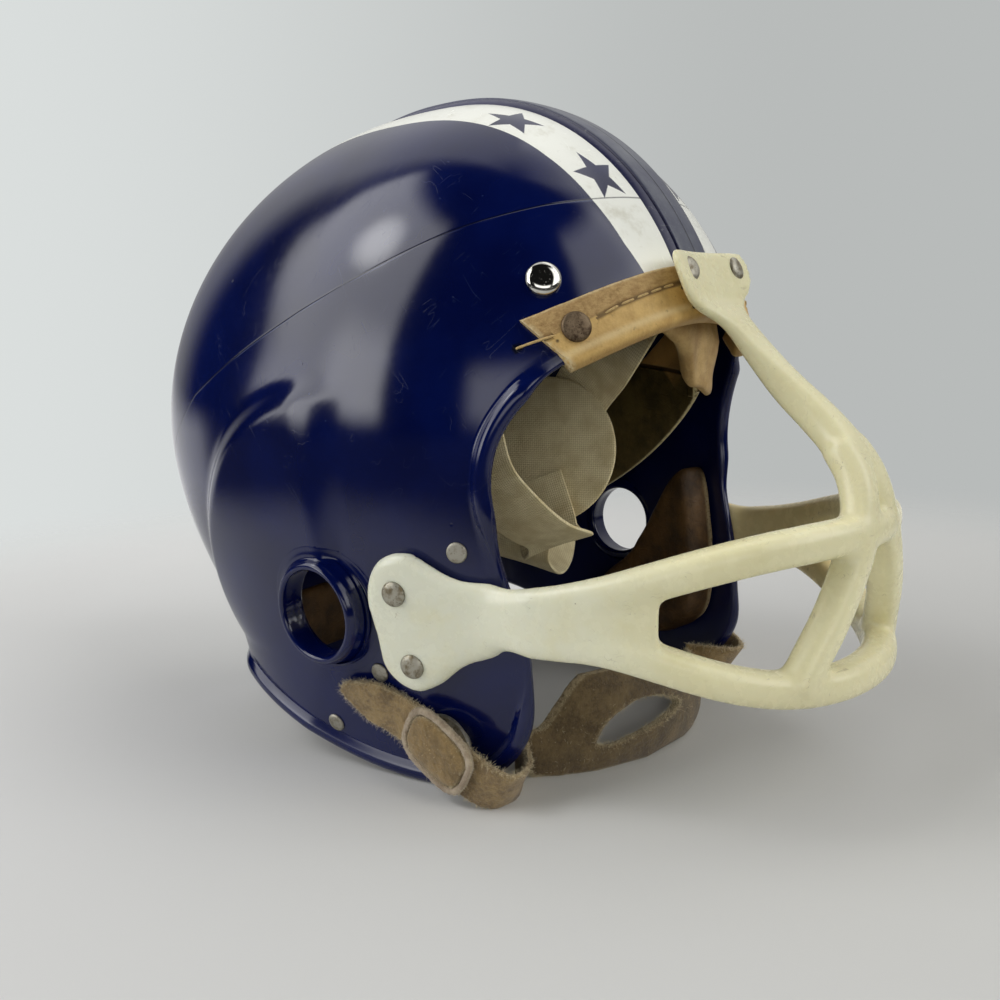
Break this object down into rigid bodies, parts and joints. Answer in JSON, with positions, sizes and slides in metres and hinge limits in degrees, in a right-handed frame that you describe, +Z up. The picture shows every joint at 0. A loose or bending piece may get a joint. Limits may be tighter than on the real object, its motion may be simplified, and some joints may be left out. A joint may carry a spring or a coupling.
{
  "type": "football helmet",
  "caption": "Child's plastic football helmet with a cream moulded two-bar face guard, tan leather brow band, leather and canvas liner and a swinging suede chin strap.",
  "frame": {"origin": "middle of the footprint, on the floor that the helmet stands on", "axes": "+Z up towards the crown, -Y towards the face opening, +X towards the wearer's left"},
  "size_m": [0.2048, 0.3184, 0.2439],
  "materials": {
    "shell_plastic": "moulded navy plastic, scuffed gloss",
    "ridge_plastic": "greyed navy plastic, worn",
    "guard_plastic": "aged cream plastic, scratched",
    "screw_steel": "dull plated steel",
    "rivet_brass": "tarnished brass",
    "snap_chrome": "domed chrome",
    "brow_leather": "dry tan leather",
    "pad_leather": "cream padded leather",
    "headband_leather": "dark olive leather",
    "jaw_leather": "brown leather",
    "canvas": "cream cotton canvas",
    "suede": "rough suede, frayed edges"
  },
  "bodies": {
    "helmet": {"shell": "shell_plastic", "crown_ridge": "ridge_plastic", "face_guard": "guard_plastic", "guard_top_screws": "screw_steel", "guard_side_screws": "screw_steel", "guard_nuts": "screw_steel", "brow_band": "brow_leather", "brow_rivets": "rivet_brass", "crown_snaps": "snap_chrome", "liner_rivets": "rivet_brass", "brow_pad": "pad_leather", "headband": "headband_leather", "crown_disc": "canvas", "cradle_strap_front": "canvas", "cradle_strap_side": "canvas", "cradle_strap_rear": "canvas", "jaw_pad_right": "jaw_leather", "jaw_pad_left": "jaw_leather", "nape_pad": "jaw_leather", "jaw_snap_right": "screw_steel", "jaw_snap_left": "screw_steel"},
    "chin_strap": {"snap_cap_right": "rivet_brass", "snap_cap_left": "rivet_brass", "strap_keeper_right": "screw_steel", "strap_keeper_left": "screw_steel", "chin_strap_right": "suede", "chin_strap_left": "suede", "chin_cup": "suede"}
  },
  "joints": [
    {"name": "chin_strap_swing", "type": "hinge", "parent": "helmet", "child": "chin_strap", "pos_m": [0, -0.04335, 0.01831], "axis": [-1, 0, 0], "range_deg": [0, 25]}
  ]
}
